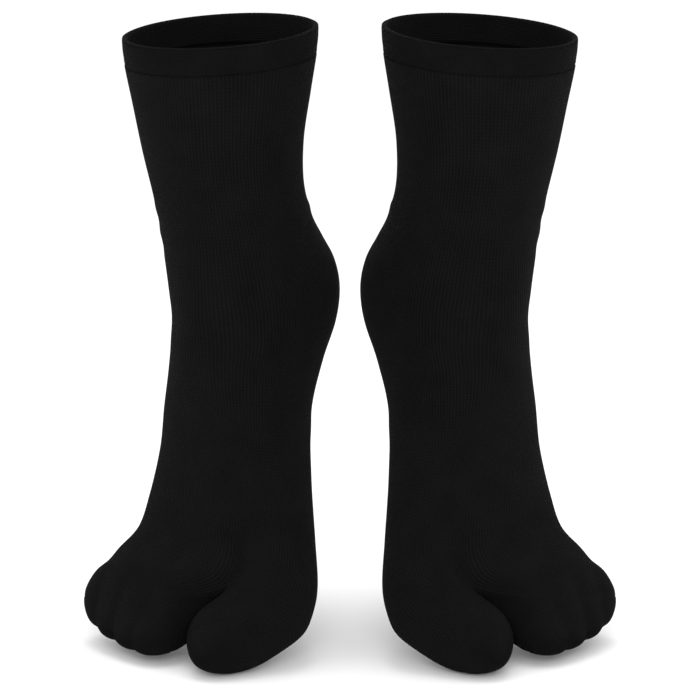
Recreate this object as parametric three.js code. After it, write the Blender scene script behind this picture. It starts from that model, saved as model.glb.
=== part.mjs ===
// A pair of split-toe (tabi) socks, each knitted in one piece with a turned cuff band, holding the
// hollow form of two pointed feet. Millimetres, +Z up, toes towards -Y, right sock at -X.
// The origin lies midway between the two cuffs, at the middle of their mouths, where the legs are.
import * as THREE from 'three';

// ---- driving dimensions -------------------------------------------------------------------
const CUFF_SPACING = 131;      // between the middles of the two cuffs
const TURN_OUT = 28;           // degrees that each foot points outwards
const WALL = 1.8;              // the knitted fabric of leg and foot
const WELT_PROUD = 0.8;        // how far the double cuff band stands out from the leg
const WELT_INWARD = 2.0;       // and how far it reaches inwards
const SEAM_GAP = 0.3;          // between the cuff band and the leg
const SPLIT_ANGLE = 12;        // degrees from the front line to the split beside the big toe
const GROOVE_DEPTH = 6;        // how far the fabric dips in where the split begins
const GROOVE_WIDTH = 7;
const POCKET_CLOSING = 0.4;    // share of a toe pocket after which its end rounds off

const KNIT = { color: 0x16161a, roughness: 0.92, metalness: 0 };
const WELT_KNIT = { color: 0x131317, roughness: 0.9, metalness: 0 };

// ---- mesh density -------------------------------------------------------------------------
const BIG_SEGMENTS = 12;       // round each ring, from the split's top round the inner side
const FOUR_SEGMENTS = 16;      // and from its underside back round the outer side
const BRIDGE_SEGMENTS = 5;     // across the split, between the pockets
const LEG_RINGS = 25;
const WELT_RINGS = 4;
const POCKET_STEPS = [0.08, 0.2, 0.34, 0.5, 0.66, 0.8, 0.91, 0.975];
const OUTLINE_POINTS = 360;

// ---- sections -----------------------------------------------------------------------------
// Each row is one section through a sock, in its own frame: f forwards, z up from the ankle.
// Columns: front point f and z, back (sole) point f and z, inner and outer edge, sweep of the
// outer edge towards the heel, inward lean of the ridge, fullness of the front and back halves.
const LEG_AND_FOOT = [
  [62, 122, -34, 135, 49, -49, 0, 0, 2.0, 2.0],      // mouth of the cuff
  [59, 109, -33, 121, 47, -48, 0, 0, 2.0, 2.0],      // foot of the cuff band
  [55, 91, -32, 102, 43, -45, 0, 0, 2.0, 2.0],       // calf
  [50, 67, -31, 77, 38, -41, 0, 0, 2.0, 2.0],
  [45, 44, -33, 54, 36, -37, 0, 0, 2.0, 2.0],        // above the ankle
  [41, 25, -43, 35, 36, -36, 0, 0, 2.0, 2.0],
  [39, 8, -56, 22, 36, -36, 0, 0, 2.0, 2.1],         // upper heel
  [38, -6, -70, 8, 36, -36, 0, 0, 2.0, 2.2],
  [37, -18, -77, -8, 35, -36, 0, 1, 2.0, 2.3],       // back of the heel
  [36, -30, -72, -25, 35, -37, 0, 2, 2.0, 2.3],
  [36, -44, -56, -46, 34, -37, 0, 3, 2.0, 2.3],      // under the heel
  [37, -65, -34, -71, 37, -37, 2, 5, 2.0, 2.3],      // arch and instep
  [40, -90, -13, -103, 46, -36, 6, 7, 2.0, 2.4],
  [45, -114, 5, -135, 56, -39, 12, 8, 2.0, 2.5],
  [53, -134, 22, -159, 65, -43, 18, 8, 2.1, 2.6],    // ball of the foot
  [65, -147, 40, -173, 69, -51, 23, 6, 2.2, 2.6],    // where the toes divide
];
const BIG_TOE = [
  [62, -144, 37, -170, 69, 15, 0, 0, 2.1, 2.2],
  [74, -151, 56, -180, 65, 17, 0, 0, 2.1, 2.2],
  [86, -157, 75, -185, 59, 21, 0, 0, 2.1, 2.2],
  [97, -163, 93, -185, 54, 29, 0, 0, 2.1, 2.2],
];
const FOUR_TOES = [
  [59, -141, 34, -167, 13, -51, 15, 0, 2.2, 2.4],
  [71, -149, 54, -179, 12, -58, 19, 0, 2.2, 2.4],
  [83, -158, 73, -184, 10, -61, 23, 0, 2.2, 2.4],
  [97, -167, 92, -187, 6, -57, 27, 0, 2.2, 2.4],
];
const BIG_TOE_CORNER = 2.4;    // how square each pocket's end is from above
const FOUR_TOES_CORNER = 3.4;
const ANKLE_TO_MOUTH = [14, 128.5];   // f and z of the middle of the cuff's mouth

// ---- small helpers ------------------------------------------------------------------------
const radians = THREE.MathUtils.degToRad;
const smooth = (x) => THREE.MathUtils.smoothstep(x, 0, 1);

// The table's row at a fractional place, on a Catmull-Rom curve through its rows.
function rowAt(table, place) {
  const last = table.length - 1;
  const at = THREE.MathUtils.clamp(place, 0, last);
  const i = Math.min(Math.floor(at), last - 1);
  const w = at - i;
  const [b, c] = [table[i], table[i + 1]];
  const a = table[i - 1] ?? b.map((value, k) => 2 * value - c[k]);
  const d = table[i + 2] ?? c.map((value, k) => 2 * value - b[k]);
  return b.map((value, k) => 0.5 * (2 * value + (c[k] - a[k]) * w
    + (2 * a[k] - 5 * value + 4 * c[k] - d[k]) * w * w
    + (3 * value - a[k] - 3 * c[k] + d[k]) * w ** 3));
}

// A section's middle, its half height from sole to front, and its direction towards the toes.
function frameOf(row) {
  const [frontF, frontZ, backF, backZ, inner, outer] = row;
  const front = new THREE.Vector3(0, frontF, frontZ);
  const back = new THREE.Vector3(0, backF, backZ);
  const half = front.clone().sub(back).multiplyScalar(0.5);
  const middle = front.clone().add(back).multiplyScalar(0.5);
  middle.x = (inner + outer) / 2;
  const ahead = new THREE.Vector3(0, half.z, -half.y).normalize();
  return { middle, half, ahead, halfWidth: (inner - outer) / 2 };
}

// The closed outline of a section, as points (inward, forwards, up), from the front line round
// the inner side: a superellipse whose outer edge is swept back.
function outline(row) {
  const [, , , , inner, outer, sweep, ridge, frontFull, backFull] = row;
  const { middle, half, ahead, halfWidth } = frameOf(row);
  const points = [];
  for (let i = 0; i < OUTLINE_POINTS; i += 1) {
    const angle = (2 * Math.PI * i) / OUTLINE_POINTS;
    const power = 2 / (Math.cos(angle) >= 0 ? frontFull : backFull);
    const up = Math.sign(Math.cos(angle)) * Math.abs(Math.cos(angle)) ** power;
    const side = Math.sign(Math.sin(angle)) * Math.abs(Math.sin(angle)) ** power;
    const across = side * halfWidth + ridge * Math.max(up, 0) ** 2;
    const swept = -sweep * (inner - middle.x - across) / (inner - outer);
    const point = middle.clone().addScaledVector(half, up).addScaledVector(ahead, swept);
    point.x += across;
    points.push(point);
  }
  return points;
}

// Points evenly spaced along a closed outline, count of them from index first to index last.
function spread(points, first, last, count) {
  const total = points.length;
  const run = [];
  for (let i = first; i <= last; i += 1) run.push(points[((i % total) + total) % total]);
  const lengths = [0];
  for (let i = 1; i < run.length; i += 1) lengths.push(lengths[i - 1] + run[i].distanceTo(run[i - 1]));
  const picked = [];
  let j = 0;
  for (let i = 0; i < count; i += 1) {
    const wanted = (lengths[lengths.length - 1] * i) / count;
    while (lengths[j + 1] < wanted) j += 1;
    const share = (wanted - lengths[j]) / (lengths[j + 1] - lengths[j]);
    picked.push(run[j].clone().lerp(run[j + 1], share));
  }
  return picked;
}

// ---- the rings of a sock ------------------------------------------------------------------
const degreeIndex = OUTLINE_POINTS / 360;

// A ring of the leg or foot. It starts on the line that runs down to the top of the split and
// passes the line to its underside; near the toes both lines dip into a groove.
function footRing(place) {
  const points = outline(rowAt(LEG_AND_FOOT, place));
  const top = Math.round(SPLIT_ANGLE * degreeIndex);
  const under = Math.round((180 - SPLIT_ANGLE) * degreeIndex);
  const depth = GROOVE_DEPTH * smooth((place - LEG_AND_FOOT.length + 3) / 2);
  const inwards = points[under].clone().sub(points[top]).normalize();
  const [topPoint, underPoint] = [points[top].clone(), points[under].clone()];
  for (const point of points) {
    const nearTop = Math.exp(-((point.distanceTo(topPoint) / GROOVE_WIDTH) ** 2));
    const nearUnder = Math.exp(-((point.distanceTo(underPoint) / GROOVE_WIDTH) ** 2));
    point.addScaledVector(inwards, depth * (nearTop - 0.7 * nearUnder));
  }
  return [
    ...spread(points, top, under, BIG_SEGMENTS),
    ...spread(points, under, top + OUTLINE_POINTS, FOUR_SEGMENTS),
  ];
}

// One ring of a toe pocket: the ring at the split passes into a rounded section of its own.
function pocketRing(pocket, start, share) {
  const { table, arc, from, to, corner } = pocket;
  const last = table.length - 1;
  const own = (row) => {
    const points = outline(row);
    const bridgeEnd = from + OUTLINE_POINTS;
    return [...spread(points, from, to, arc), ...spread(points, to, bridgeEnd, BRIDGE_SEGMENTS)];
  };
  const centreLine = (ring) => ring[0].clone().add(ring[arc]).multiplyScalar(0.5);
  const row = rowAt(table, share * last);
  const ring = own(row);
  const moved = centreLine(ring).sub(centreLine(own(table[0]))).setX(0);
  const blend = smooth(share / 0.4);
  const { middle, half, ahead } = frameOf(row);
  const up = half.clone().normalize();
  const closing = Math.max(0, (share - POCKET_CLOSING) / (1 - POCKET_CLOSING));
  const flat = Math.sqrt(1 - closing ** 2);
  const narrow = (1 - closing ** corner) ** (1 / corner);
  const slope = row[6] / (row[4] - row[5]);
  return ring.map((point, i) => {
    const from0 = start[i].clone().add(moved);
    const offset = from0.lerp(point, blend).sub(middle);
    const swept = slope * (offset.x - (row[4] - row[5]) / 2);
    const beyond = offset.dot(ahead) - swept;
    const result = middle.clone().addScaledVector(up, offset.dot(up) * flat);
    result.addScaledVector(ahead, swept * narrow + beyond * flat);
    result.addScaledVector(ahead, -slope * (1 - narrow) * (row[4] - row[5]) / 2);
    result.x += offset.x * narrow;
    return result;
  });
}

// Triangles between two rings of the same number of points, given as lists of point indices.
function band(ringA, ringB) {
  const triangles = [];
  ringA.forEach((a, i) => {
    const next = (i + 1) % ringA.length;
    triangles.push([a, ringA[next], ringB[next]], [a, ringB[next], ringB[i]]);
  });
  return triangles;
}

// The outer skin of leg, foot and both toe pockets, open at the top ring.
function footSkin() {
  const points = [];
  const triangles = [];
  const add = (ring) => ring.map((point) => points.push(point) - 1);
  const top = 1 + SEAM_GAP / (LEG_AND_FOOT[1][1] - LEG_AND_FOOT[2][1]);
  const end = LEG_AND_FOOT.length - 1;
  let ring = null;
  let rim = null;
  for (let i = 0; i < LEG_RINGS; i += 1) {
    const next = add(footRing(top + ((end - top) * i) / (LEG_RINGS - 1)));
    if (ring) triangles.push(...band(ring, next));
    rim ??= next;
    ring = next;
  }
  const splitTop = ring[0];
  const splitUnder = ring[BIG_SEGMENTS];
  const bridge = [];
  for (let i = 1; i < BRIDGE_SEGMENTS; i += 1) {
    const share = i / BRIDGE_SEGMENTS;
    const point = points[splitUnder].clone().lerp(points[splitTop], share);
    const bow = 3 * Math.sin(Math.PI * share);
    bridge.push(...add([point.add(new THREE.Vector3(0, -bow, bow / 2))]));
  }
  const pockets = [
    { table: BIG_TOE, arc: BIG_SEGMENTS, from: -45 * degreeIndex, to: 225 * degreeIndex,
      corner: BIG_TOE_CORNER, ring: [...ring.slice(0, BIG_SEGMENTS), splitUnder, ...bridge] },
    { table: FOUR_TOES, arc: FOUR_SEGMENTS, from: 135 * degreeIndex, to: 405 * degreeIndex,
      corner: FOUR_TOES_CORNER, ring: [...ring.slice(BIG_SEGMENTS), splitTop, ...[...bridge].reverse()] },
  ];
  for (const pocket of pockets) {
    const start = pocket.ring.map((index) => points[index].clone());
    let last = pocket.ring;
    for (const share of POCKET_STEPS) {
      const next = add(pocketRing(pocket, start, share));
      triangles.push(...band(last, next));
      last = next;
    }
    const centre = last.reduce((sum, index) => sum.add(points[index]), new THREE.Vector3());
    const [tip] = add([centre.multiplyScalar(1 / last.length)]);
    last.forEach((index, i) => triangles.push([index, last[(i + 1) % last.length], tip]));
  }
  return { points, triangles, rims: [rim] };
}

// The skin of the cuff band, open at the mouth and at its foot.
function weltSkin() {
  const points = [];
  const triangles = [];
  const rings = [];
  for (let i = 0; i < WELT_RINGS; i += 1) {
    rings.push(footRing(i / (WELT_RINGS - 1)).map((point) => points.push(point) - 1));
    if (i) triangles.push(...band(rings[i - 1], rings[i]));
  }
  return { points, triangles, rims: [rings[0], [...rings[WELT_RINGS - 1]].reverse()] };
}

// ---- from a skin to a closed wall ---------------------------------------------------------
function skinNormals({ points, triangles }) {
  const normals = points.map(() => new THREE.Vector3());
  for (const [a, b, c] of triangles) {
    const ac = points[c].clone().sub(points[a]);
    const normal = points[b].clone().sub(points[a]).cross(ac);
    for (const corner of [a, b, c]) normals[corner].add(normal);
  }
  return normals.map((normal) => normal.normalize());
}

// A wall round the skin, reaching outward and inward from it and closed along its open rims.
// handed is 1 for the right sock and -1 for the left, which is its mirror image.
function wall(skin, outward, inward, handed) {
  const normals = skinNormals(skin);
  const count = skin.points.length;
  const offset = (distance) => skin.points.map((point, i) =>
    point.clone().addScaledVector(normals[i], distance));
  const points = [...offset(outward), ...offset(-inward)];
  const triangles = [];
  for (const [a, b, c] of skin.triangles) triangles.push([a, c, b], [a + count, b + count, c + count]);
  for (const rim of skin.rims) {
    rim.forEach((a, i) => {
      const b = rim[(i + 1) % rim.length];
      triangles.push([a, b, b + count], [a, b + count, a + count]);
    });
  }
  const geometry = new THREE.BufferGeometry();
  // Inward is +X on the right sock and -X on the left, and forwards is -Y.
  const places = points.flatMap((point) => [handed * point.x, -point.y, point.z]);
  geometry.setAttribute('position', new THREE.Float32BufferAttribute(places, 3));
  geometry.setIndex(triangles.flatMap(([a, b, c]) => (handed > 0 ? [a, b, c] : [a, c, b])));
  geometry.computeVertexNormals();
  return geometry;
}

// ---- the pair -----------------------------------------------------------------------------
function sock(side, handed) {
  const group = new THREE.Group();
  const body = new THREE.Mesh(wall(footSkin(), 0, WALL, handed), new THREE.MeshStandardMaterial(KNIT));
  body.name = `${side}_sock_body`;
  const welt = new THREE.Mesh(
    wall(weltSkin(), WELT_PROUD, WELT_INWARD, handed),
    new THREE.MeshStandardMaterial(WELT_KNIT),
  );
  welt.name = `${side}_sock_welt`;
  const turn = radians(-TURN_OUT * handed);
  const [mouthF, mouthZ] = ANKLE_TO_MOUTH;
  const mouth = new THREE.Vector3(0, -mouthF, mouthZ).applyAxisAngle(new THREE.Vector3(0, 0, 1), turn);
  group.rotation.z = turn;
  group.position.set((-handed * CUFF_SPACING) / 2, 0, 0).sub(mouth);
  group.add(body, welt);
  return group;
}

const pair = new THREE.Group();
pair.add(sock('right', 1), sock('left', -1));

export default pair;
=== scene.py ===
# A pair of black knitted split-toe (tabi) socks holding the hollow form of two pointed feet.
# Blender shows them in metres; the sections below are in millimetres, as in the CAD model.
from math import cos, pi, radians, sin

import bpy
import numpy as np
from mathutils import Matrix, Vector


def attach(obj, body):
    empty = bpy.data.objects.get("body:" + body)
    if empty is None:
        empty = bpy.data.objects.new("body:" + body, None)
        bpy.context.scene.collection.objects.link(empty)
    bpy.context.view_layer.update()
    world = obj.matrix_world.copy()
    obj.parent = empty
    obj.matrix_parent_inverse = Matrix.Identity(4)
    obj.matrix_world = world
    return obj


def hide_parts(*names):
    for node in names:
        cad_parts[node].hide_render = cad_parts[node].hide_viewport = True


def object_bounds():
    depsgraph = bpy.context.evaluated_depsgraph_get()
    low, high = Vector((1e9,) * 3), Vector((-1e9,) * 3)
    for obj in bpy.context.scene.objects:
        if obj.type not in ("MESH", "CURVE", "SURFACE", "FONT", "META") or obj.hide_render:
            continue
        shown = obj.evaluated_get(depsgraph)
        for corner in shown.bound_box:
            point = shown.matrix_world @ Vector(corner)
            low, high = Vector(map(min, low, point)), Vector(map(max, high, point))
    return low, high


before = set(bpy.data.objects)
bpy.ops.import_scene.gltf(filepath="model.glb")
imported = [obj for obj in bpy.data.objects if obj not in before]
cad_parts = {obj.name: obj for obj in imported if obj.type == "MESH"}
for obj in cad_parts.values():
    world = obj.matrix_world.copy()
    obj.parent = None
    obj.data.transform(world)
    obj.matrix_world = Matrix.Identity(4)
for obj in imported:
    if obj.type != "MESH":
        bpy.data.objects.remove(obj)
CAD_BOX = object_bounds()

MM = 0.001

# ---- driving dimensions, millimetres and degrees ---------------------------------------------
TURN_OUT = 28
CUFF_SPACING = 131
ANKLE_TO_MOUTH = (14, 128.5)
WALL = 1.5
WELT_PROUD = 0.9
WELT_INWARD = 2.0
WELT_ROUNDING = 1.2
SPLIT_ANGLE = 12
GROOVE_DEPTH = 6.5
GROOVE_WIDTH = 6.5
GROOVE_UNDER = 0.7           # its depth under the foot, as a share of the depth on top
GROOVE_ROWS = 2              # rows of the table over which it deepens
POCKET_CLOSING = 0.4         # share of a pocket where its tip begins to close
POCKET_BLENDING = 0.4        # share of a pocket that still follows the ring at the split
FACING = 45                  # half of the sector in which each pocket faces the other
BRIDGE_BOW = 3
BRIDGE_CLOTH = 0.43          # share of the way round that the cloth between the toes has

# ---- mesh density ----------------------------------------------------------------------------
BIG_SEGMENTS = 94
FOUR_SEGMENTS = 126
BRIDGE_SEGMENTS = 32
LEG_RINGS = 150
POCKET_RINGS = 34
OUTLINE_POINTS = 1440
WELT_AROUND = 440
WELT_RINGS = 14

# ---- sections --------------------------------------------------------------------------------
# Columns: front point f and z, back (sole) point f and z, inner and outer edge, sweep of the
# outer edge towards the heel, inward lean of the ridge, fullness of the front and back halves.
LEG_AND_FOOT = np.array([
    [62, 122, -34, 135, 49, -49, 0, 0, 2.0, 2.0],      # mouth of the cuff
    [59, 109, -33, 121, 47, -48, 0, 0, 2.0, 2.0],      # foot of the cuff band
    [55, 91, -32, 102, 43, -45, 0, 0, 2.0, 2.0],       # calf
    [50, 67, -31, 77, 38, -41, 0, 0, 2.0, 2.0],
    [45, 44, -33, 54, 36, -37, 0, 0, 2.0, 2.0],        # above the ankle
    [41, 25, -43, 35, 36, -36, 0, 0, 2.0, 2.0],
    [39, 8, -56, 22, 36, -36, 0, 0, 2.0, 2.1],         # upper heel
    [38, -6, -70, 8, 36, -36, 0, 0, 2.0, 2.2],
    [37, -18, -77, -8, 35, -36, 0, 1, 2.0, 2.3],       # back of the heel
    [36, -30, -72, -25, 35, -37, 0, 2, 2.0, 2.3],
    [36, -44, -56, -46, 34, -37, 0, 3, 2.0, 2.3],      # under the heel
    [37, -65, -34, -71, 37, -37, 2, 5, 2.0, 2.3],      # arch and instep
    [40, -90, -13, -103, 46, -36, 6, 7, 2.0, 2.4],
    [45, -114, 5, -135, 56, -39, 12, 8, 2.0, 2.5],
    [53, -134, 22, -159, 65, -43, 18, 8, 2.1, 2.6],    # ball of the foot
    [65, -147, 40, -173, 69, -51, 23, 6, 2.2, 2.6],    # where the toes divide
], float)
BIG_TOE = np.array([
    [62, -144, 37, -170, 69, 15, 0, 0, 2.1, 2.2],
    [74, -151, 56, -180, 62, 16, 0, 0, 2.1, 2.2],
    [86, -157, 75, -185, 54, 18, 0, 0, 2.1, 2.2],
    [97, -163, 93, -185, 47, 24, 0, 0, 2.1, 2.2],
], float)
FOUR_TOES = np.array([
    [59, -141, 34, -167, 13, -51, 15, 0, 2.2, 2.4],
    [71, -149, 54, -179, 12, -56, 19, 0, 2.2, 2.4],
    [83, -158, 73, -184, 10, -58, 23, 0, 2.2, 2.4],
    [97, -167, 92, -187, 6, -54, 27, 0, 2.2, 2.4],
], float)
BIG_TOE_CORNER = 2.4
FOUR_TOES_CORNER = 3.4

# Creases of leg and foot. Columns: row of the table where it lies, angle from the front line
# towards the inner side, half length in degrees, half width in rows, depth in mm (a ridge is
# negative), slant in rows for each 90 degrees.
CREASES = [
    (4.30, -62, 26, 0.16, 0.28, 0.25),
    (4.62, -50, 20, 0.18, -0.18, 0.20),
    (5.02, -58, 30, 0.17, 0.30, -0.15),
    (5.45, -40, 24, 0.20, -0.22, -0.20),
    (3.60, -76, 18, 0.16, 0.20, 0.10),
    (2.60, 40, 22, 0.12, 0.25, -0.20),
    (4.75, 150, 34, 0.16, 0.75, 0.20),
    (5.30, 172, 40, 0.18, 0.60, -0.15),
    (4.10, -158, 30, 0.15, 0.45, -0.20),
    (6.30, 18, 46, 0.30, 0.55, 0.35),
    (7.60, 6, 40, 0.40, 0.70, -0.30),
    (9.20, -10, 44, 0.45, 0.60, 0.30),
    (10.6, 24, 34, 0.28, 0.35, -0.25),
    (11.3, 132, 30, 0.20, 0.45, 0.30),
    (11.9, 150, 36, 0.22, 0.55, -0.20),
    (12.6, -128, 26, 0.18, 0.40, 0.25),
    (13.0, -22, 22, 0.16, 0.35, 0.30),
    (13.5, 2, 16, 0.14, 0.60, -0.40),
    (13.9, 60, 26, 0.16, 0.35, 0.30),
    (14.2, -60, 28, 0.16, 0.45, -0.30),
]
CREASE_FADE = 1.4                    # how soon a crease reaches its full depth from its ends
TOE_GAPS = (0.30, 0.55, 0.79)        # dents between the four toes, as shares of their width
TOE_GAP_WIDTH = 0.06
TOE_GAP_DEPTH = 1.7
TOE_GAP_RISE = 0.6                   # share of the pocket over which they deepen
TOE_SEAM = (0.70, 0.022, 0.45)       # place on a pocket, half width there, height in mm
BODY_TOP = 0.985                     # place in the table where the body begins, just inside the band

# How the skin is softened round the split: from this row of the table, fully after these rows,
# up to this share of a pocket, fading over this share, how strongly and how often.
SOFT_FROM, SOFT_ROWS, SOFT_UP_TO, SOFT_FADE = 13.2, 1.2, 0.5, 0.3
SOFT_STRENGTH, SOFT_ROUNDS = 0.5, 14

# The cuff band. Waves round it have as columns: how many, height in mm, phase, drift of the
# phase, and how often it drifts.
RIM_WAVES = [(2, 0.35, 0.6, 0, 0), (5, 0.25, 2.1, 0, 0)]
PUCKERS = [(23, 0.22, 0, 1.3, 3), (41, 0.16, 0.7, 0, 0)]
WELT_HEIGHT = 13.5
WELT_SWELL = 0.35
STITCH_PLACE, STITCH_WIDTH = 0.86, 0.10      # the stitched line, as shares of the band's height
STITCH_RIDGE, STITCH_STRENGTH = 0.5, 0.5
RIM_SHOULDER_OUT, RIM_SHOULDER_IN, RIM_SHOULDER_RISE = 0.75, 0.8, 0.7
INNER_LAYER = 2.4                            # where the inner layer ends, counted along the cloth
RIM_ALONG = [2.5, 2.6, 2.7]


# ---- small helpers ---------------------------------------------------------------------------
def smooth(x):
    x = np.clip(x, 0.0, 1.0)
    return x * x * (3 - 2 * x)


def row_at(table, place):
    """The table's row at a fractional place, on a Catmull-Rom curve through its rows."""
    last = len(table) - 1
    place = min(max(place, 0.0), last)
    i = min(int(place), last - 1)
    w = place - i
    b, c = table[i], table[i + 1]
    a = table[i - 1] if i > 0 else 2 * b - c
    d = table[i + 2] if i + 2 <= last else 2 * c - b
    bend = (2 * a - 5 * b + 4 * c - d) * w * w + (3 * b - a - 3 * c + d) * w ** 3
    return 0.5 * (2 * b + (c - a) * w + bend)


def frame_of(row):
    """A section's middle, its half height from sole to front, and its way towards the toes."""
    half = np.array([0, (row[0] - row[2]) / 2, (row[1] - row[3]) / 2])
    middle = np.array([(row[4] + row[5]) / 2, (row[0] + row[2]) / 2, (row[1] + row[3]) / 2])
    ahead = np.array([0, half[2], -half[1]])
    return middle, half, ahead / np.linalg.norm(ahead)


def outline(row):
    """The section's closed outline from the front line round the inner side."""
    inner, outer, sweep, ridge = row[4:8]
    middle, half, ahead = frame_of(row)
    angle = np.linspace(0, 2 * pi, OUTLINE_POINTS, endpoint=False)
    power = 2 / np.where(np.cos(angle) >= 0, row[8], row[9])
    up = np.sign(np.cos(angle)) * np.abs(np.cos(angle)) ** power
    side = np.sign(np.sin(angle)) * np.abs(np.sin(angle)) ** power
    across = side * (inner - outer) / 2 + ridge * np.maximum(up, 0) ** 2
    swept = -sweep * (inner - middle[0] - across) / (inner - outer)
    points = middle + np.outer(up, half) + np.outer(swept, ahead)
    points[:, 0] += across
    return points


def spread(points, first, last, count):
    """Points evenly spaced along a closed outline, from index first up to index last."""
    run = points[np.arange(first, last + 1) % len(points)]
    lengths = np.concatenate([[0], np.cumsum(np.linalg.norm(np.diff(run, axis=0), axis=1))])
    wanted = np.linspace(0, lengths[-1], count, endpoint=False)
    return np.stack([np.interp(wanted, lengths, run[:, k]) for k in range(3)], axis=1)


def index_of(degrees):
    return int(round(degrees * OUTLINE_POINTS / 360))


# ---- the skin of a sock ----------------------------------------------------------------------
def foot_ring(place, big=BIG_SEGMENTS, four=FOUR_SEGMENTS):
    """A ring of leg or foot, from the line that runs down to the top of the split."""
    points = outline(row_at(LEG_AND_FOOT, place))
    top, under = index_of(SPLIT_ANGLE), index_of(180 - SPLIT_ANGLE)
    to_split = len(LEG_AND_FOOT) - 1 - place
    depth = GROOVE_DEPTH * smooth((GROOVE_ROWS - to_split) / GROOVE_ROWS)
    inwards = points[under] - points[top]
    inwards = inwards / np.linalg.norm(inwards)
    near_top = np.exp(-(np.linalg.norm(points - points[top], axis=1) / GROOVE_WIDTH) ** 2)
    near_under = np.exp(-(np.linalg.norm(points - points[under], axis=1) / GROOVE_WIDTH) ** 2)
    points = points + np.outer(depth * (near_top - GROOVE_UNDER * near_under), inwards)
    upper = spread(points, top, under, big)
    return np.concatenate([upper, spread(points, under, top + OUTLINE_POINTS, four)])


def pocket_ring(pocket, start, share):
    """One ring of a toe pocket: the ring at the split passes into a rounded section."""
    table, arc, begin, end, corner, gaps = pocket

    def own(row):
        points = outline(row)
        outer = spread(points, begin, end, arc)
        return np.concatenate([outer, spread(points, end, begin + OUTLINE_POINTS, BRIDGE_SEGMENTS)])

    row = row_at(table, share * (len(table) - 1))
    ring, first = own(row), own(table[0])
    moved = (ring[0] + ring[arc]) / 2 - (first[0] + first[arc]) / 2
    moved[0] = 0
    blend = smooth(share / POCKET_BLENDING)
    middle, half, ahead = frame_of(row)
    up = half / np.linalg.norm(half)
    closing = max(0.0, (share - POCKET_CLOSING) / (1 - POCKET_CLOSING))
    flat = (1 - closing ** 2) ** 0.5
    narrow = (1 - closing ** corner) ** (1 / corner)
    width = row[4] - row[5]
    slope = row[6] / width
    offset = (start + moved) * (1 - blend) + ring * blend - middle
    swept = slope * (offset[:, 0] - width / 2)
    beyond = offset @ ahead - swept
    along = swept * narrow + beyond * flat - slope * (1 - narrow) * width / 2
    across = 0.5 - offset[:, 0] * narrow / width
    gap_depth = TOE_GAP_DEPTH * smooth(share / TOE_GAP_RISE)
    for gap in gaps:
        along -= gap_depth * np.exp(-((across - gap) / TOE_GAP_WIDTH) ** 2)
    result = middle + np.outer((offset @ up) * flat, up) + np.outer(along, ahead)
    result[:, 0] += offset[:, 0] * narrow
    return result


def band(ring_a, ring_b):
    """Quads between two rings of the same number of points."""
    a, b = np.asarray(ring_a), np.asarray(ring_b)
    return np.stack([a, np.roll(a, -1), np.roll(b, -1), b], axis=1)


class Skin:
    """Points, quads and tip triangles, with a cloth coordinate (round, along) at each point."""

    def __init__(self):
        self.points, self.cloth, self.quads, self.tips, self.pockets = [], [], [], [], []
        self.count = 0

    def add(self, ring, rounds, along):
        index = np.arange(self.count, self.count + len(ring))
        self.points.append(ring)
        self.cloth.append(np.stack([rounds, np.full(len(ring), along)], axis=1))
        self.count += len(ring)
        return index

    def close(self):
        self.points = np.concatenate(self.points)
        self.cloth = np.concatenate(self.cloth)
        self.quads = np.concatenate(self.quads)


def foot_skin():
    """The skin of leg, foot and both toe pockets, from the cuff band down to the tips."""
    skin = Skin()
    end = len(LEG_AND_FOOT) - 1
    round_share = np.arange(BIG_SEGMENTS + FOUR_SEGMENTS) / (BIG_SEGMENTS + FOUR_SEGMENTS)
    ring, along, last_points, rim = None, 0.0, None, None
    for place in np.linspace(BODY_TOP, end, LEG_RINGS):
        points = foot_ring(place)
        if last_points is not None:
            along += np.linalg.norm(points - last_points, axis=1).mean()
        following = skin.add(points, round_share, along)
        if ring is None:
            rim = following
        else:
            skin.quads.append(band(ring, following))
        ring, last_points = following, points
    split_top, split_under = ring[0], ring[BIG_SEGMENTS]
    share = np.arange(1, BRIDGE_SEGMENTS) / BRIDGE_SEGMENTS
    bow = BRIDGE_BOW * np.sin(pi * share)
    ends = last_points[BIG_SEGMENTS], last_points[0]
    points = np.outer(1 - share, ends[0]) + np.outer(share, ends[1])
    points += np.stack([0 * bow, -bow, bow / 2], axis=1)
    bridge = skin.add(points, BRIDGE_CLOTH * (1 - share), along)
    pockets = [
        ((BIG_TOE, BIG_SEGMENTS, index_of(-90 + FACING), index_of(270 - FACING), BIG_TOE_CORNER, ()),
         np.concatenate([ring[:BIG_SEGMENTS], [split_under], bridge])),
        ((FOUR_TOES, FOUR_SEGMENTS, index_of(90 + FACING), index_of(450 - FACING), FOUR_TOES_CORNER,
          TOE_GAPS),
         np.concatenate([ring[BIG_SEGMENTS:], [split_top], bridge[::-1]])),
    ]
    for pocket, ring in pockets:
        every = np.concatenate(skin.points)
        rounds = np.concatenate(skin.cloth)[ring, 0]
        start, last_points, reach = every[ring], every[ring], along
        shares = np.sin(np.linspace(0, pi / 2, POCKET_RINGS + 1))[1:-1]
        for share_along in shares:
            points = pocket_ring(pocket, start, share_along)
            reach += np.linalg.norm(points - last_points, axis=1).mean()
            following = skin.add(points, rounds, reach)
            skin.quads.append(band(ring, following))
            skin.pockets.append((following, share_along))
            ring, last_points = following, points
        tip = skin.add(last_points.mean(axis=0)[None], np.zeros(1), reach)
        skin.pockets.append((tip, 1.0))
        skin.tips += [(a, b, tip[0]) for a, b in zip(ring, np.roll(ring, -1))]
    skin.rims = [rim]
    skin.close()
    return skin


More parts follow.
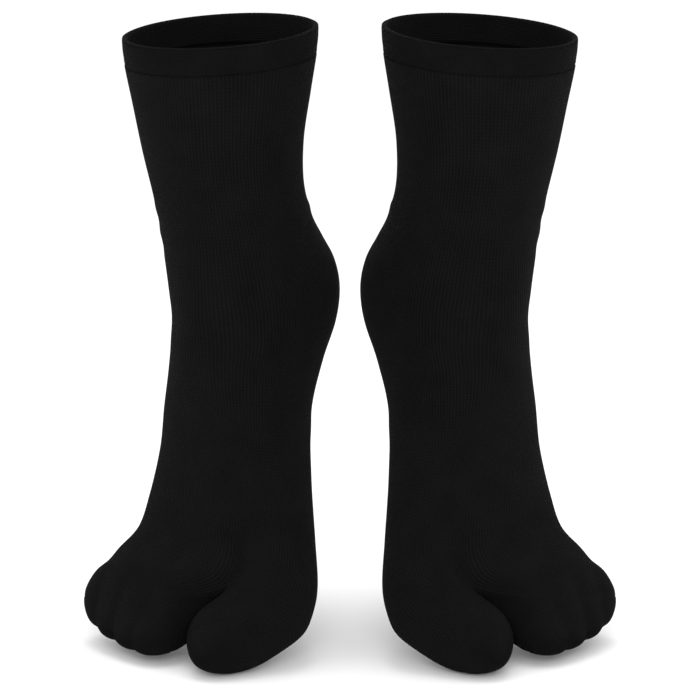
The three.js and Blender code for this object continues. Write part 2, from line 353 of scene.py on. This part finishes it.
def skin_normals(points, quads, tips):
    """Outward unit normals at the points, from the faces that meet there."""
    normals = np.zeros_like(points)
    diagonal = np.cross(points[quads[:, 3]] - points[quads[:, 1]],
                        points[quads[:, 2]] - points[quads[:, 0]])
    for k in range(4):
        np.add.at(normals, quads[:, k], diagonal)
    if len(tips):
        tips = np.asarray(tips)
        face = np.cross(points[tips[:, 2]] - points[tips[:, 0]],
                        points[tips[:, 1]] - points[tips[:, 0]])
        for k in range(3):
            np.add.at(normals, tips[:, k], face)
    return normals / np.maximum(np.linalg.norm(normals, axis=1), 1e-9)[:, None]


def relax(points, quads, weight, rounds):
    """Laplacian smoothing of the points, as strong as their weight."""
    edges = np.concatenate([quads[:, [0, 1]], quads[:, [1, 2]], quads[:, [2, 3]], quads[:, [3, 0]]])
    edges = np.concatenate([edges, edges[:, ::-1]])
    degree = np.maximum(np.bincount(edges[:, 0], minlength=len(points)), 1)[:, None]
    for _ in range(rounds):
        total = np.zeros_like(points)
        np.add.at(total, edges[:, 0], points[edges[:, 1]])
        points = points + (total / degree - points) * weight[:, None]
    return points


def crease_depth(places, angles):
    """How far the creases push the cloth in at each point of leg and foot."""
    depth = np.zeros_like(places)
    for row, angle, length, width, deep, slant in CREASES:
        turn = (angles - angle + 180) % 360 - 180
        off = (places - row - slant * turn / 90) / width
        depth += deep * np.exp(-off ** 2) * smooth(CREASE_FADE * (1 - np.abs(turn) / length))
    return depth


# ---- from skins to meshes --------------------------------------------------------------------
def to_world(points, handed):
    """Sock millimetres (inward, forwards, up) to the shared frame in metres."""
    turn = radians(TURN_OUT)
    mouth_f, mouth_z = ANKLE_TO_MOUTH
    inward, forward = points[:, 0], points[:, 1] - mouth_f
    x = inward * cos(turn) - forward * sin(turn) - CUFF_SPACING / 2
    y = -inward * sin(turn) - forward * cos(turn)
    return np.stack([handed * x, y, points[:, 2] - mouth_z], axis=1) * MM


def new_piece(name, points, faces, cloth, handed):
    """A smooth mesh object; faces turn with the hand, and cloth gives its UV map in metres."""
    if handed < 0:
        faces = [tuple(reversed(face)) for face in faces]
    mesh = bpy.data.meshes.new(name)
    mesh.from_pydata(to_world(points, handed).tolist(), [], faces)
    mesh.validate()
    uv = mesh.uv_layers.new(name="cloth")
    corners = np.zeros(len(mesh.loops), dtype=np.int32)
    mesh.loops.foreach_get("vertex_index", corners)
    values = cloth[corners].copy()
    starts = np.zeros(len(mesh.polygons), dtype=np.int32)
    totals = np.zeros(len(mesh.polygons), dtype=np.int32)
    mesh.polygons.foreach_get("loop_start", starts)
    mesh.polygons.foreach_get("loop_total", totals)
    face_of = np.repeat(np.arange(len(starts)), totals)
    highest = np.zeros(len(starts))
    np.maximum.at(highest, face_of, values[:, 0])
    wrapped = (highest[face_of] > 0.9) & (values[:, 0] < 0.1)
    values[wrapped, 0] += 1.0
    uv.data.foreach_set("uv", values.astype(np.float32).ravel())
    mesh.polygons.foreach_set("use_smooth", [True] * len(mesh.polygons))
    piece = bpy.data.objects.new(name, mesh)
    bpy.context.scene.collection.objects.link(piece)
    return piece


def shell_faces(quads, tips, rims, count):
    """Faces of an outer and an inner layer of the same skin, joined along its rims."""
    faces = [tuple(quad[::-1]) for quad in quads.tolist()]
    faces += [tuple(quad) for quad in (quads + count).tolist()]
    faces += [(a, c, b) for a, b, c in tips]
    faces += [(a + count, b + count, c + count) for a, b, c in tips]
    for rim in rims:
        for a, b in zip(rim.tolist(), np.roll(rim, -1).tolist()):
            faces.append((a, b, b + count, a + count))
    return faces


def make_body(side, handed, skin):
    """The knitted tube: the skin and the same skin moved inwards, joined at the top."""
    count = len(skin.points)
    points = np.concatenate([skin.points, skin.points - skin.normals * WALL])
    faces = shell_faces(skin.quads, skin.tips, skin.rims, count)
    cloth = np.concatenate([skin.cloth, skin.cloth])
    return new_piece(f"{side}_knit_body", points, faces, cloth, handed)


def finished_foot():
    """The foot's skin with a softened split, creases and toe seams."""
    skin = foot_skin()
    leg_count = LEG_RINGS * (BIG_SEGMENTS + FOUR_SEGMENTS)
    place = np.full(len(skin.points), float(len(LEG_AND_FOOT)))
    place[:leg_count] = np.repeat(np.linspace(BODY_TOP, len(LEG_AND_FOOT) - 1, LEG_RINGS),
                                  BIG_SEGMENTS + FOUR_SEGMENTS)
    share = np.zeros(len(skin.points))
    for index, value in skin.pockets:
        share[index] = value
    near_split = smooth((place - SOFT_FROM) / SOFT_ROWS) * smooth((SOFT_UP_TO - share) / SOFT_FADE)
    skin.points = relax(skin.points, skin.quads, SOFT_STRENGTH * near_split, SOFT_ROUNDS)
    skin.normals = skin_normals(skin.points, skin.quads, skin.tips)
    rounds = skin.cloth[:, 0]
    split = BIG_SEGMENTS / (BIG_SEGMENTS + FOUR_SEGMENTS)
    angles = np.where(rounds < split, SPLIT_ANGLE + rounds / split * (180 - 2 * SPLIT_ANGLE),
                      180 - SPLIT_ANGLE + (rounds - split) / (1 - split) * (180 + 2 * SPLIT_ANGLE))
    depth = crease_depth(place, angles)
    depth[leg_count:] = 0
    seam_place, seam_width, seam_height = TOE_SEAM
    depth -= seam_height * np.exp(-((share - seam_place) / seam_width) ** 2)
    skin.points = skin.points - skin.normals * depth[:, None]
    skin.normals = skin_normals(skin.points, skin.quads, skin.tips)
    return skin


def waves(turn, table):
    """How high the waves of the table stand at each turn round the tube."""
    return sum(height * np.sin(many * turn + phase + drift * np.sin(often * turn))
               for many, height, phase, drift, often in table)


def make_welt(side, handed):
    """The turned cuff band: a closed profile carried round the mouth, a little uneven."""
    rings = WELT_RINGS
    place = np.linspace(0, 1, rings)
    big = round(WELT_AROUND * BIG_SEGMENTS / (BIG_SEGMENTS + FOUR_SEGMENTS))
    base = np.array([foot_ring(p, big, WELT_AROUND - big) for p in place])
    around = np.roll(base, -1, axis=1) - np.roll(base, 1, axis=1)
    down = np.gradient(base, axis=0)
    normal = np.cross(down, around)
    normal /= np.linalg.norm(normal, axis=2)[:, :, None]
    if ((base - base.mean(axis=1)[:, None]) * normal).sum() < 0:
        normal = -normal
    down /= np.linalg.norm(down, axis=2)[:, :, None]
    turn = np.linspace(0, 2 * pi, WELT_AROUND, endpoint=False)
    stitches = (waves(turn, PUCKERS) + STITCH_RIDGE) * STITCH_STRENGTH
    loop, along = [], []
    for k in range(rings):
        near_stitches = np.exp(-((place[k] - STITCH_PLACE) / STITCH_WIDTH) ** 2)
        swell = WELT_SWELL * sin(pi * place[k]) + stitches * near_stitches
        loop.append(base[k] + normal[k] * (WELT_PROUD + swell)[:, None])
        along.append(place[k])
    for k in reversed(range(rings)):
        loop.append(base[k] - normal[k] * WELT_INWARD)
        along.append(INNER_LAYER - place[k])
    shoulder = down[0] * WELT_ROUNDING * RIM_SHOULDER_RISE
    top_in = base[0] - normal[0] * (WELT_INWARD * RIM_SHOULDER_IN) - shoulder
    top_mid = base[0] + normal[0] * ((WELT_PROUD - WELT_INWARD) / 2) - down[0] * WELT_ROUNDING
    top_out = base[0] + normal[0] * (WELT_PROUD * RIM_SHOULDER_OUT) - shoulder
    loop = np.array(loop + [top_in, top_mid, top_out])
    along = np.array(along + RIM_ALONG)
    loop[:, :, 2] += waves(turn, RIM_WAVES) * (1 - np.minimum(along, 1))[:, None]
    count = len(loop)
    index = np.arange(count * WELT_AROUND).reshape(count, WELT_AROUND)
    quads = np.concatenate([band(index[k], index[(k + 1) % count]) for k in range(count)])
    rounds = np.tile(turn / (2 * pi), count)
    cloth = np.stack([rounds, np.repeat(along * WELT_HEIGHT, WELT_AROUND)], axis=1)
    faces = [tuple(quad[::-1]) for quad in quads.tolist()]
    return new_piece(f"{side}_knit_cuff", loop.reshape(-1, 3), faces, cloth, handed)


# ---- materials -------------------------------------------------------------------------------
ROUGHNESS, SPECULAR = 0.9, 0.02
SHEEN, SHEEN_ROUGHNESS = 0.006, 0.45
FIBRE_SCALE, FIBRE_DETAIL, FIBRE_HEIGHT = 900, 3, 0.5
MOTTLE_SCALE, MOTTLE_DETAIL = 60, 4
BUMP_STRENGTH, BUMP_DISTANCE = 0.75, 0.00028
STITCH_SLANT, STITCH_LEAN = 0.9, 2.6
# How much the knit's colour varies: the wale and course amounts are painted shade, darker in the grooves
# between stitches and lighter on the raised loops; mottle and fibre are random variation of the yarn.
WALE_PAINTED_SHADE, COURSE_PAINTED_SHADE, MOTTLE_TONE, FIBRE_TONE = 0.16, 0.10, 0.5, 0.35
TONE_RANGE, TINT_RANGE = (0.1, 0.75), (0.62, 1.38)


def math_node(nodes, links, operation, first, second=None):
    """A Math node on numbers or other nodes' outputs; returns its output."""
    node = nodes.new("ShaderNodeMath")
    node.operation = operation
    for socket, value in zip(node.inputs, (first, second)):
        if value is None:
            continue
        if isinstance(value, (int, float)):
            socket.default_value = value
        else:
            links.new(value, socket)
    return node.outputs[0]


def knit_material(name, colour, wales, course_pitch, wale_depth, course_depth):
    """Black knit: wales along the tube and courses round it, with fibre fuzz and faint mottling; the
    colour also carries painted shade, darker in the grooves between stitches and lighter on their raised
    loops.
    """
    material = bpy.data.materials.new(name)
    material.use_nodes = True
    nodes, links = material.node_tree.nodes, material.node_tree.links
    shader = nodes["Principled BSDF"]
    shader.inputs["Roughness"].default_value = ROUGHNESS
    shader.inputs["Specular IOR Level"].default_value = SPECULAR
    shader.inputs["Sheen Weight"].default_value = SHEEN
    shader.inputs["Sheen Roughness"].default_value = SHEEN_ROUGHNESS
    uv = nodes.new("ShaderNodeUVMap")
    uv.uv_map = "cloth"
    split = nodes.new("ShaderNodeSeparateXYZ")
    links.new(uv.outputs[0], split.inputs[0])

    def use(operation, first, second=None):
        return math_node(nodes, links, operation, first, second)

    wale_phase = use("MULTIPLY", split.outputs[0], wales * 2 * pi)
    wale = use("COSINE", wale_phase)
    slanted = use("MULTIPLY", use("ABSOLUTE", use("SINE", use("MULTIPLY", wale_phase, 0.5))), STITCH_SLANT)
    course = use("SINE", use("ADD", use("MULTIPLY", split.outputs[1], 2 * pi / course_pitch),
                             use("MULTIPLY", slanted, STITCH_LEAN)))
    noise = nodes.new("ShaderNodeTexNoise")
    noise.inputs["Scale"].default_value = FIBRE_SCALE
    noise.inputs["Detail"].default_value = FIBRE_DETAIL
    mottle = nodes.new("ShaderNodeTexNoise")
    mottle.inputs["Scale"].default_value = MOTTLE_SCALE
    mottle.inputs["Detail"].default_value = MOTTLE_DETAIL
    place = nodes.new("ShaderNodeTexCoord")
    for texture in (noise, mottle):
        links.new(place.outputs["Object"], texture.inputs["Vector"])
    height = use("MULTIPLY", wale, wale_depth)
    height = use("ADD", height, use("MULTIPLY", course, course_depth))
    height = use("ADD", height, use("MULTIPLY", noise.outputs["Fac"], FIBRE_HEIGHT))
    bump = nodes.new("ShaderNodeBump")
    bump.inputs["Strength"].default_value = BUMP_STRENGTH
    bump.inputs["Distance"].default_value = BUMP_DISTANCE
    links.new(height, bump.inputs["Height"])
    links.new(bump.outputs[0], shader.inputs["Normal"])
    # Painted shade: the colour follows the stitches' height, darker in the grooves between wales and
    # courses and lighter on the raised loops; mottle and fibre add random variation.
    wale_painted_shade = use("MULTIPLY", wale, WALE_PAINTED_SHADE * wale_depth)
    stitch_shade_and_mottle = use("ADD", wale_painted_shade, use("MULTIPLY", course, COURSE_PAINTED_SHADE * course_depth))
    stitch_shade_and_mottle = use("ADD", stitch_shade_and_mottle, use("MULTIPLY", mottle.outputs["Fac"], MOTTLE_TONE))
    stitch_shade_and_mottle = use("ADD", stitch_shade_and_mottle, use("MULTIPLY", noise.outputs["Fac"], FIBRE_TONE))
    ramp = nodes.new("ShaderNodeMapRange")
    ramp.inputs["From Min"].default_value, ramp.inputs["From Max"].default_value = TONE_RANGE
    ramp.inputs["To Min"].default_value, ramp.inputs["To Max"].default_value = TINT_RANGE
    links.new(stitch_shade_and_mottle, ramp.inputs["Value"])
    tint = nodes.new("ShaderNodeVectorMath")
    tint.operation = "SCALE"
    tint.inputs[0].default_value = colour
    links.new(ramp.outputs[0], tint.inputs["Scale"])
    links.new(tint.outputs[0], shader.inputs["Base Color"])
    return material


# ---- camera, lights and floor ----------------------------------------------------------------
CAMERA_DISTANCE = 1.400
CAMERA_PITCH = 10
VIEW_WIDTH = 0.364           # what the frame's width covers at the cuffs' distance
LOOK_AT = Vector((0, 0.0124, -0.165))
SENSOR_WIDTH = 36
LIGHTS = [("front", (0.0, -1.6, 0.35), 0.9, 14), ("above", (0.0, 0.2, 1.5), 1.2, 8)]
FLOOR_REACH = 60.0
FLOOR_DROP = 0.001           # how far the floor lies below the CAD's lowest point
FLOOR_GREY = 0.93
SKY_STRENGTH = 1.12


def make_camera():
    data = bpy.data.cameras.new("camera")
    data.sensor_width = SENSOR_WIDTH
    data.lens = data.sensor_width * CAMERA_DISTANCE / VIEW_WIDTH
    camera = bpy.data.objects.new("camera", data)
    pitch = radians(CAMERA_PITCH)
    camera.location = LOOK_AT + CAMERA_DISTANCE * Vector((0, -cos(pitch), sin(pitch)))
    camera.rotation_euler = (pi / 2 - pitch, 0, 0)
    bpy.context.scene.collection.objects.link(camera)
    bpy.context.scene.camera = camera


def area_light(name, place, size, power):
    """A round soft light that points at the middle of the view."""
    data = bpy.data.lights.new(name, "AREA")
    data.shape = "DISK"
    data.size = size
    data.energy = power
    light = bpy.data.objects.new(name, data)
    light.location = place
    light.rotation_euler = (LOOK_AT - light.location).to_track_quat("-Z", "Y").to_euler()
    bpy.context.scene.collection.objects.link(light)


def make_studio(floor_height):
    mesh = bpy.data.meshes.new("floor")
    corners = [(-1, -1), (1, -1), (1, 1), (-1, 1)]
    points = [(x * FLOOR_REACH, y * FLOOR_REACH, floor_height) for x, y in corners]
    mesh.from_pydata(points, [], [(0, 1, 2, 3)])
    floor = bpy.data.objects.new("floor", mesh)
    bpy.context.scene.collection.objects.link(floor)
    material = bpy.data.materials.new("pale_floor")
    material.use_nodes = True
    shader = material.node_tree.nodes["Principled BSDF"]
    shader.inputs["Base Color"].default_value = (FLOOR_GREY, FLOOR_GREY, FLOOR_GREY, 1)
    shader.inputs["Roughness"].default_value = 1.0
    shader.inputs["Specular IOR Level"].default_value = 0.0
    mesh.materials.append(material)
    world = bpy.data.worlds.new("studio")
    bpy.context.scene.world = world
    world.use_nodes = True
    background = world.node_tree.nodes["Background"]
    background.inputs["Color"].default_value = (1, 1, 1, 1)
    background.inputs["Strength"].default_value = SKY_STRENGTH
    for name, place, size, power in LIGHTS:
        area_light(name, place, size, power)
    bpy.context.scene.view_settings.view_transform = "Standard"


# ---- the pair --------------------------------------------------------------------------------
make_camera()
body_knit = knit_material("black_sock_knit", (0.0043, 0.0043, 0.0046), 150, 1.9, 1.0, 0.55)
cuff_knit = knit_material("black_cuff_knit", (0.0040, 0.0040, 0.0043), 190, 1.1, 0.25, 0.8)
foot = finished_foot()
for side, handed in (("right", 1), ("left", -1)):
    body = make_body(side, handed, foot)
    body.data.materials.append(body_knit)
    cuff = make_welt(side, handed)
    cuff.data.materials.append(cuff_knit)
    for piece, node, slot in ((body, "body", "sock_knit"), (cuff, "welt", "cuff_knit")):
        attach(piece, "root")
        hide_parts(f"{side}_sock_{node}")
make_studio(CAD_BOX[0][2] - FLOOR_DROP)
